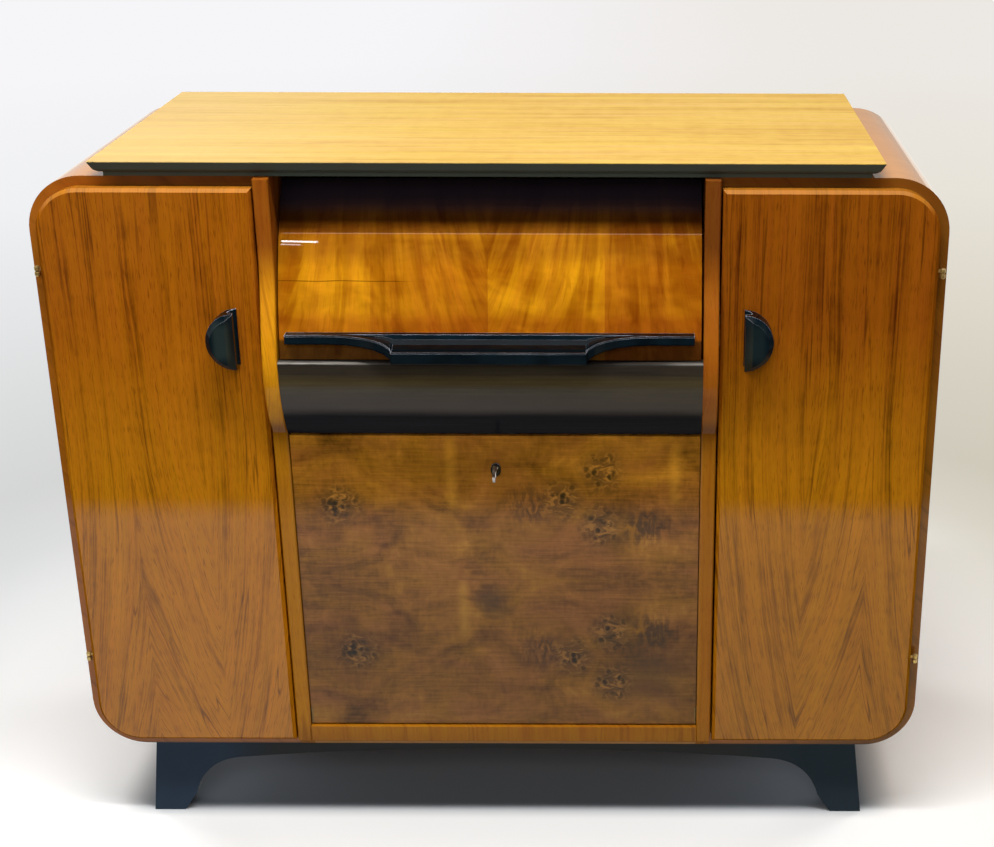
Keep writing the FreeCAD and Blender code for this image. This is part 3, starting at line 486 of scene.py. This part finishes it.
def burl_finish():
    """Brown burl veneer matched about the flap's middle height, golden and painted lighter towards its
    top.

    Cloudy noise with fine level fibre is the ground. Groups of dark eyes with paler rings, and smudges
    beside them, lie at (x, height off the match line). Stains lie at (x, height, size), and golden upright
    streaks at (x, from, to). The eyes are the cells of Voronoi noise.
    """
    finish = Finish("burl_veneer")
    x, y, z = finish.place()
    off = abs(z - BURL_MATCH)
    along = x - z.step(BURL_MATCH + SHEET_BLEND, BURL_MATCH - SHEET_BLEND) * BURL_SHIFT
    cloud = finish.grain(along, off, BURL_CLOUD, 2.0, detail=5.0, roughness=0.6, distortion=0.8)
    fibre = finish.grain(along, off, BURL_FIBRE, 4.0, detail=4.0, roughness=0.65, distortion=0.3)
    grain = finish.grain(along, off, BURL_GRAIN, 6.0, detail=3.0, roughness=0.6, distortion=0.6)
    swirl = finish.grain(along, off, BURL_SWIRL, 9.0, distortion=1.2)
    blush = finish.grain(along, off, BURL_BLUSH, 15.0, detail=4.0, roughness=0.6, distortion=0.6)
    drift = swirl * 0.9
    spot = {0: along * BURL_EYE[0] + drift, 1: off * BURL_EYE[1] + drift, 2: 0.0}
    spot = finish.node("CombineXYZ", None, spot)
    eye = finish.node("TexVoronoi", None, {"Vector": spot, "Scale": 1.0}, "Distance")
    colour = finish.ramp(
        cloud + fibre * 0.44 + grain * 0.26 - 0.345,
        (0.2, tone(66, 40, 18)), (0.45, tone(126, 83, 36)), (0.62, tone(150, 101, 45)),
        (0.85, tone(180, 128, 60)),
    )
    hue = finish.ramp(blush, (0.36, tone(255, 255, 214)), (0.64, tone(240, 228, 255)))
    colour = finish.tinted(colour, hue)
    for centre, height in BURL_SMUDGES:
        reach = distance(along, off, centre, height) + cloud * 0.03
        smudge = reach.step(0.058, 0.016) * grain.step(0.64, 0.4)
        colour = finish.mix(colour, tone(60, 42, 34), smudge * 0.8)
    for centre, height, size in BURL_STAINS:
        reach = distance(x, z, centre, height) + cloud * 0.03
        colour = finish.mix(colour, tone(64, 46, 36), reach.step(size, 0.016) * 0.6)
    reaches = [distance(along, off, *place) + swirl * 0.014 for place in BURL_EYES]
    group = reduce(Wire.at_least, [reach.step(0.046, 0.012) for reach in reaches])
    colour = finish.mix(colour, tone(70, 48, 34), group * 0.7)
    colour = finish.mix(colour, tone(178, 122, 56), swirl.step(0.46, 0.34) * group * 0.5)
    colour = finish.mix(colour, tone(176, 124, 62), eye.near(0.46, 0.14) * group * 0.3)
    colour = finish.mix(colour, tone(38, 30, 22), swirl.step(0.52, 0.62) * group * 0.7)
    colour = finish.mix(colour, tone(24, 20, 18), eye.step(0.40, 0.18) * group * 0.9)
    for centre, low, high in BURL_STREAKS:
        streak = x.near(centre, 0.012) * z.within(low, high, 0.02) * cloud.step(0.25, 0.6)
        colour = finish.mix(colour, tone(190, 136, 52), streak * 0.45)
    # Golden towards the top, and brighter there as painted light.
    colour = finish.tinted(colour, tone(255, 246, 190), z.step(0.40, 0.54))
    brighter = z.step(0.26, 0.42) * 0.35 + z.step(0.44, 0.58) * 0.65
    colour = finish.mix(colour, colour, brighter, "ADD")
    colour = finish.mix(colour, tone(80, 52, 30), z.near(BURL_MATCH, BURL_SEAM_WIDTH) * 0.3)
    relief = finish.bump(fibre, FIBRE_DEPTH, finish.rounded(ROUNDING))
    return finish.set(Base_Color=colour, Roughness=0.4 + 0.2 * cloud, Normal=relief, **BURL_GLOSS)


# Dark front under the lid

EBONY_POLISH = (0.598, 0.615)
EBONY_STAIN = (0.612, 0.640)
EBONY_COOL = (0.645, 0.656)
EBONY_CLOUD = (9.0, 40.0, 40.0)
EBONY_FIBRE = (8.0, 300.0, 300.0)
EBONY_RIM = 0.6695
EBONY_RIM_WIDTH = 0.0020
EBONY_ROUNDING = 0.0008


def ebonised_finish():
    """Dark stained wood under gloss, duller along its foot, where it is painted darker as a dark
    reflection.

    Its upper rim has a painted highlight at the ends.
    """
    finish = Finish("ebonised_wood")
    x, y, z = finish.place()
    cloud = finish.speckle(x, y, z, EBONY_CLOUD, detail=4.0, roughness=0.6)
    fibre = finish.speckle(x, y, z, EBONY_FIBRE, detail=3.0, roughness=0.6)
    polish = (z + cloud * 0.006).step(*EBONY_POLISH)
    stain = finish.ramp(cloud * 0.6 + fibre * 0.4, (0.3, tone(46, 42, 32)), (0.7, tone(82, 72, 52)))
    stain = finish.mix(tone(66, 56, 54), stain, z.step(*EBONY_STAIN) * 0.7 + cloud * 0.3)
    # Below the polish the foot is painted darker, as a painted dark reflection.
    dull = finish.mix(tone(20, 20, 24), tone(36, 36, 42), fibre)
    colour = finish.mix(dull, stain, polish)
    colour = finish.tinted(colour, tone(206, 212, 240), z.step(*EBONY_COOL))
    # Painted highlight: a pale line along the upper rim at its ends.
    ends = x.step(-0.10, -0.24) + x.step(0.19, 0.25) * 0.5
    painted_highlight = z.near(EBONY_RIM, EBONY_RIM_WIDTH) * ends * (cloud * 0.5 + fibre * 0.5).step(0.36, 0.6)
    colour = finish.mix(colour, tone(206, 200, 190), painted_highlight * 0.75)
    gloss = GLOSS | {"Coat_Weight": 0.1 + 0.6 * polish, "Coat_Roughness": 0.16}
    return finish.set(
        Base_Color=colour, Roughness=0.6 - 0.25 * polish, Normal=finish.rounded(EBONY_ROUNDING), **gloss,
    )


# Black lacquer of handles, edging, spacer and plinth

PLINTH_TOP = (0.125, 0.115)
SLAB_FOOT = (0.882, 0.886)
HANDLE_REFLECTION_ACROSS = (0.316, 0.326, 0.008)
HANDLE_REFLECTION_HEIGHT = (0.684, 0.712, 0.016)
LACQUER_CLOUD = (30.0, 30.0, 30.0)
LACQUER_HIGHLIGHT_NOISE = (40.0, 40.0, 40.0)
LACQUER_ROUNDING = 0.0012
LACQUER_HIGHLIGHT_REACH = 0.0016


def lacquer_finish():
    """Blue-black lacquer of uneven gloss, with painted highlights along its upper edges.

    It is matt on the plinth and satin on the top's edging, and both are painted paler, partly as painted
    reflection. Faces that look up carry painted shade, and the flat of the handles a painted reflection.
    """
    finish = Finish("black_lacquer")
    x, y, z = finish.place()
    cloud = finish.speckle(x, y, z, LACQUER_CLOUD, detail=4.0)
    highlight_noise = finish.speckle(x, y, z, LACQUER_HIGHLIGHT_NOISE, detail=3.0)
    colour = finish.ramp(cloud, (0.3, tone(9, 19, 25)), (0.7, tone(17, 33, 41)))
    plinth = z.step(*PLINTH_TOP)
    # Painted reflection, in part: the matt plinth is paler blue-grey than the lacquer.
    matt = finish.mix(tone(54, 69, 87), tone(45, 58, 67), x.step(-0.3, 0.3))
    matt = finish.mix(matt, tone(56, 58, 58), abs(x).step(0.40, 0.30))
    colour = finish.mix(colour, matt, plinth * (0.85 + 0.3 * cloud))
    # Painted shade: faces that look up are darker.
    upward = finish.place("Normal")[2].step(0.5, 0.9)
    colour = finish.tinted(colour, tone(140, 140, 140), upward)
    # Painted reflection, in part: the top's edging is paler grey.
    slab = z.step(*SLAB_FOOT)
    colour = finish.mix(colour, tone(88, 92, 80), slab * 0.8)
    # Painted reflection on the flat of the handles, weaker on the right.
    painted_reflection = abs(x).within(*HANDLE_REFLECTION_ACROSS) * z.within(*HANDLE_REFLECTION_HEIGHT)
    colour = finish.mix(colour, tone(58, 72, 66), painted_reflection * (0.5 - 0.3 * x.step(-0.1, 0.1)))
    # Painted highlights along the upper edges, in patches, none on the plinth and few on the edging.
    lifted = finish.split(finish.rounded(LACQUER_HIGHLIGHT_REACH))[2].step(0.15, 0.5)
    patchy = 0.35 + 0.65 * highlight_noise.step(0.35, 0.65)
    pale_edges = finish.edges(LACQUER_HIGHLIGHT_REACH) * lifted * patchy * (1.0 - plinth)
    colour = finish.mix(colour, tone(222, 224, 236), pale_edges * (0.9 - 0.8 * slab))
    gloss = GLOSS | {"Coat_Weight": 0.5 - 0.4 * plinth.at_least(slab), "Coat_Roughness": 0.05}
    return finish.set(
        Base_Color=colour, Roughness=0.25 + 0.2 * cloud, Normal=finish.rounded(LACQUER_ROUNDING), **gloss,
    )


# Inner boards and back


def inside_finish():
    """Plain waxed wood of the inner boards."""
    finish = Finish("inside_wood")
    x, y, z = finish.place()
    veneer(finish, y + z, x, 81.0, (tone(206, 160, 104), tone(190, 142, 88), tone(150, 104, 60)), bold=0.5)
    return finish.set(Coat_Weight=0.15, Coat_Roughness=0.3)


def plywood_finish():
    """Pale plywood of the back."""
    finish = Finish("plywood")
    x, y, z = finish.place()
    veneer(finish, x, z, 91.0, (tone(206, 170, 122), tone(190, 150, 102), tone(154, 112, 72)), bold=0.5)
    return finish.set(Coat_Weight=0.0)


# Metal fittings

PATINA = (220.0, 220.0, 220.0)
TARNISH_AND_SHADE = tone(84, 62, 40)
METAL = 0.75
METAL_ROUNDING = 0.0003
FLAP_PIVOT_TOP = (0.19, 0.18)
FLAP_PIVOT_END = (0.27, 0.265)
KEY_SIDE = (0.006, 0.004)
KEY_BOW = (0.524, 0.534, 0.004)
KEY_GLINT = (0.511, 0.521, 0.004)


def metal_finish(name, bright, dull):
    """Old polished metal, dulled in patches."""
    finish = Finish(name)
    x, y, z = finish.place()
    patina = finish.speckle(x, y, z, PATINA, detail=3.0)
    finish.colour = finish.ramp(patina, (0.35, bright), (0.75, dull))
    rounded = finish.rounded(METAL_ROUNDING)
    return finish.set(Metallic=METAL, Roughness=0.22 + 0.25 * patina, Normal=rounded)


def brass_finish():
    """Brass, tarnished on the flap's pivots."""
    finish = metal_finish("brass", tone(236, 206, 136), tone(168, 132, 74))
    x, y, z = finish.place()
    pivots = z.step(*FLAP_PIVOT_TOP) * abs(x).step(*FLAP_PIVOT_END)
    return finish.set(Base_Color=finish.mix(finish.colour, TARNISH_AND_SHADE, pivots * 0.85))


def steel_finish():
    """Steel. The upper half of the key has a painted shadow, and its lower half a painted white glint."""
    finish = metal_finish("steel", tone(224, 222, 214), tone(150, 146, 136))
    x, y, z = finish.place()
    key = abs(x).step(*KEY_SIDE)
    painted_glint = z.within(*KEY_GLINT) * key
    # Painted shadow on the key's upper half, and a painted glint on its lower half.
    colour = finish.mix(finish.colour, TARNISH_AND_SHADE, z.within(*KEY_BOW) * key * 0.85)
    colour = finish.mix(colour, tone(250, 247, 240), painted_glint * 0.9)
    return finish.set(Base_Color=colour, Metallic=METAL - 0.65 * painted_glint)


finishes = {
    "door_veneer": door_finish(),
    "shell_veneer": shell_finish(),
    "divider_wood": divider_finish(),
    "top_veneer": top_finish(),
    "lid_veneer": lid_finish(),
    "burl_veneer": burl_finish(),
    "ebonised_wood": ebonised_finish(),
    "black_lacquer": lacquer_finish(),
    "inside_wood": inside_finish(),
    "plywood": plywood_finish(),
    "brass": brass_finish(),
    "steel": steel_finish(),
}
for subpart in frame["record"]["subparts"]:
    piece = nodes[subpart["node"]]
    piece.data.materials.clear()
    piece.data.materials.append(finishes[subpart["material_slot"]].material)


# Floor

FLOOR_REACH = 14.0
PAPER_FRONT = -1.2
DARK_FRONT = -2.3
NEAR_PAPER = 0.65
FAR_PAPER = 1.15
HORIZON = tone(240, 240, 242)
DIM_SIDE = tone(70, 66, 58)
FRONT_SIDES = (1.1, 1.5)
PAPER_SIDES = (0.95, 1.3)
BENEATH_WIDTH = (-0.47, 0.47, 0.08)
BENEATH_FRONT = (-0.200, -0.156)
BENEATH_BACK = (0.30, 0.24)
FRONT_SHADOW_WIDTH = (-0.34, 0.40, 0.16)
FRONT_SHADOW_Y = (-0.42, -0.19)
FAR_STOPS = (0.07, 0.097, 0.17, 0.26, 0.43, 0.75, 0.96)
COOL_PAPER = (
    tone(226, 228, 230), tone(213, 215, 215), tone(228, 229, 230), tone(240, 241, 243),
    tone(246, 245, 248), tone(246, 245, 248), HORIZON,
)
WARM_PAPER = (
    tone(222, 215, 200), tone(206, 200, 182), tone(222, 215, 201), tone(232, 227, 217),
    tone(236, 232, 227), tone(236, 232, 227), HORIZON,
)


def near_paper(finish, x, y, seen):
    """The paper near the cabinet. It takes the shadow and, except beneath, glows a little to the eye.

    Beneath the cabinet it is painted darker as shade, and in front of it a painted shadow dims the glow.
    """
    beneath = x.within(*BENEATH_WIDTH) * y.step(*BENEATH_FRONT) * y.step(*BENEATH_BACK)
    front_shadow = x.within(*FRONT_SHADOW_WIDTH) * y.step(*FRONT_SHADOW_Y)
    # Painted shade: the paper beneath the cabinet is darker and doesn't glow.
    paper = finish.mix(tone(246, 246, 245), tone(130, 139, 148), beneath)
    glow = finish.mix(tone(108, 108, 106), tone(96, 84, 68), x.step(-0.6, 0.6))
    # Painted shadow in front of the cabinet, where the glow is weaker.
    glow = finish.mix(glow, tone(40, 38, 36), front_shadow)
    finish.set(
        Base_Color=finish.mix(tone(156, 156, 156), paper, seen),
        Emission_Color=finish.mix(tone(0, 0, 0), glow, seen * (1.0 - beneath)),
        Emission_Strength=1.0, Roughness=0.9, Specular_IOR_Level=0.0,
    )
    return Wire(finish, finish.shader.outputs[0])


def far_paper(finish, x, reach):
    """The paper further out, cool on the left and warm on the right, which ends in the horizon's tone."""
    far = reach * (1.0 / FLOOR_REACH)
    cool = finish.ramp(far, *zip(FAR_STOPS, COOL_PAPER))
    warm = finish.ramp(far, *zip(FAR_STOPS, WARM_PAPER))
    return finish.node("Emission", None, {"Color": finish.mix(cool, warm, x.step(-1.5, 1.5))})


def mirrored_floor(finish, x, y):
    """What the gloss shows: the paper up to its front, then a floor that darkens, dim on both sides."""
    front = finish.mix(tone(24, 22, 20), tone(212, 170, 40), y.step(DARK_FRONT, PAPER_FRONT - 0.25))
    front = finish.mix(front, DIM_SIDE, abs(x).step(*FRONT_SIDES))
    paper = finish.mix(tone(250, 248, 240), tone(236, 226, 192), x.step(-0.6, 0.6) * y.step(0.0, -0.4))
    paper = finish.mix(paper, DIM_SIDE, abs(x).step(*PAPER_SIDES) * y.step(0.15, -0.1))
    mirrored = finish.mix(front, paper, y.step(PAPER_FRONT - 0.08, PAPER_FRONT + 0.05))
    return finish.node("Emission", None, {"Color": mirrored})


def floor_finish():
    """Pale paper to the eye and as light. To the gloss the paper ends in front, and the floor darkens."""
    finish = Finish("floor_paper")
    x, y, z = finish.place()
    reach = (x * x + y * y) ** 0.5
    seen = finish.node("LightPath", output="Is Camera Ray")
    shine = finish.node("LightPath", output="Is Glossy Ray")
    share = seen * reach.step(NEAR_PAPER, FAR_PAPER)
    papers = {0: share, 1: near_paper(finish, x, y, seen), 2: far_paper(finish, x, reach)}
    paper = finish.node("MixShader", None, papers)
    both = finish.node("MixShader", None, {0: shine, 1: paper, 2: mirrored_floor(finish, x, y)})
    finish.join(both, finish.nodes["Material Output"].inputs["Surface"])
    return finish


def floor():
    """A flat square round the cabinet's foot, which isn't part of the cabinet."""
    mesh = bpy.data.meshes.new("floor")
    corners = [(x * FLOOR_REACH, y * FLOOR_REACH, 0.0) for x, y in ((-1, -1), (1, -1), (1, 1), (-1, 1))]
    mesh.from_pydata(corners, [], [(0, 1, 2, 3)])
    mesh.materials.append(floor_finish().material)
    piece = bpy.data.objects.new("floor", mesh)
    bpy.context.scene.collection.objects.link(piece)


# Light

MIDDLE = (0.0, 0.0, 0.5)
LID_LEFT = (-0.2, -0.2, 0.8)
BACKDROP_SIDES = (-0.3, 0.2)
BACKDROP_FRONT = (-0.25, 0.3)
OVERHEAD = (0.76, 0.90)


def lamp(name, place, aim, size, power, glossy=False):
    """A flat studio lamp at a place, turned to its aim, which the gloss may mirror or not."""
    light = bpy.data.lights.new(name, "AREA")
    light.shape = "RECTANGLE"
    light.size, light.size_y = size
    light.energy = power
    piece = bpy.data.objects.new(name, light)
    piece.location = place
    piece.rotation_euler = (Vector(aim) - Vector(place)).to_track_quat("-Z", "Y").to_euler()
    piece.visible_camera = False
    piece.visible_glossy = glossy
    bpy.context.scene.collection.objects.link(piece)


def world():
    """Pale to the eye, soft grey as light, and to the gloss bright behind and above, and dim in front."""
    studio = bpy.data.worlds.new("studio")
    bpy.context.scene.world = studio
    tree = Tree(studio)
    x, y, z = tree.place("Generated")
    backdrop = tree.mix(tone(228, 228, 230), tone(190, 190, 188), x.step(*BACKDROP_SIDES))
    backdrop = tree.mix(tone(24, 22, 20), backdrop, y.step(*BACKDROP_FRONT))
    backdrop = tree.mix(backdrop, tone(244, 244, 246), z.step(*OVERHEAD))
    shine = tree.node("LightPath", output="Is Glossy Ray")
    seen = tree.node("LightPath", output="Is Camera Ray")
    colour = tree.mix(tree.mix(tone(42, 42, 42), backdrop, shine), HORIZON, seen)
    tree.join(colour, tree.nodes["Background"].inputs["Color"])


floor()
world()
lamp("key", (-0.10, -0.95, 3.30), (0.0, -0.1, 0.6), size=(2.4, 0.22), power=94.0)
lamp("fill", (-0.40, -4.20, 2.60), MIDDLE, size=(3.0, 2.0), power=56.0)
lamp("rear_left", (-3.0, 2.2, 1.5), MIDDLE, size=(1.5, 1.5), power=55.0)
lamp("rear_right", (3.0, 2.2, 1.5), MIDDLE, size=(1.5, 1.5), power=55.0)
lamp("bulb", (-0.725, -2.04, 2.37), LID_LEFT, size=(0.10, 0.03), power=0.24, glossy=True)
lamp("bulb_below", (-0.745, -2.04, 2.30), LID_LEFT, size=(0.07, 0.02), power=0.05, glossy=True)
lamp("rail", (0.0, -1.80, 2.356), (0.0, -0.17, 0.82), size=(4.0, 0.02), power=0.4, glossy=True)


# Camera

CAMERA_PLACE = (0.17945, -2.12034, 1.34621)
CAMERA_PITCH = math.radians(68.338)
CAMERA_ROLL = 0.003
SENSOR_WIDTH = 36.0
PHOTO_WIDTH = 994.0
FOCAL_PIXELS = 1669.0
AXIS_PIXEL = 639.0

camera_data = bpy.data.cameras.new("camera")
camera_data.sensor_width = SENSOR_WIDTH
camera_data.lens = FOCAL_PIXELS * SENSOR_WIDTH / PHOTO_WIDTH
camera_data.shift_x = 0.5 - AXIS_PIXEL / PHOTO_WIDTH
camera = bpy.data.objects.new("camera", camera_data)
camera.matrix_world = (
    Matrix.Translation(CAMERA_PLACE)
    @ Matrix.Rotation(CAMERA_PITCH, 4, "X")
    @ Matrix.Rotation(CAMERA_ROLL, 4, "Z")
)
bpy.context.scene.collection.objects.link(camera)
bpy.context.scene.camera = camera
bpy.context.scene.view_settings.view_transform = "Standard"
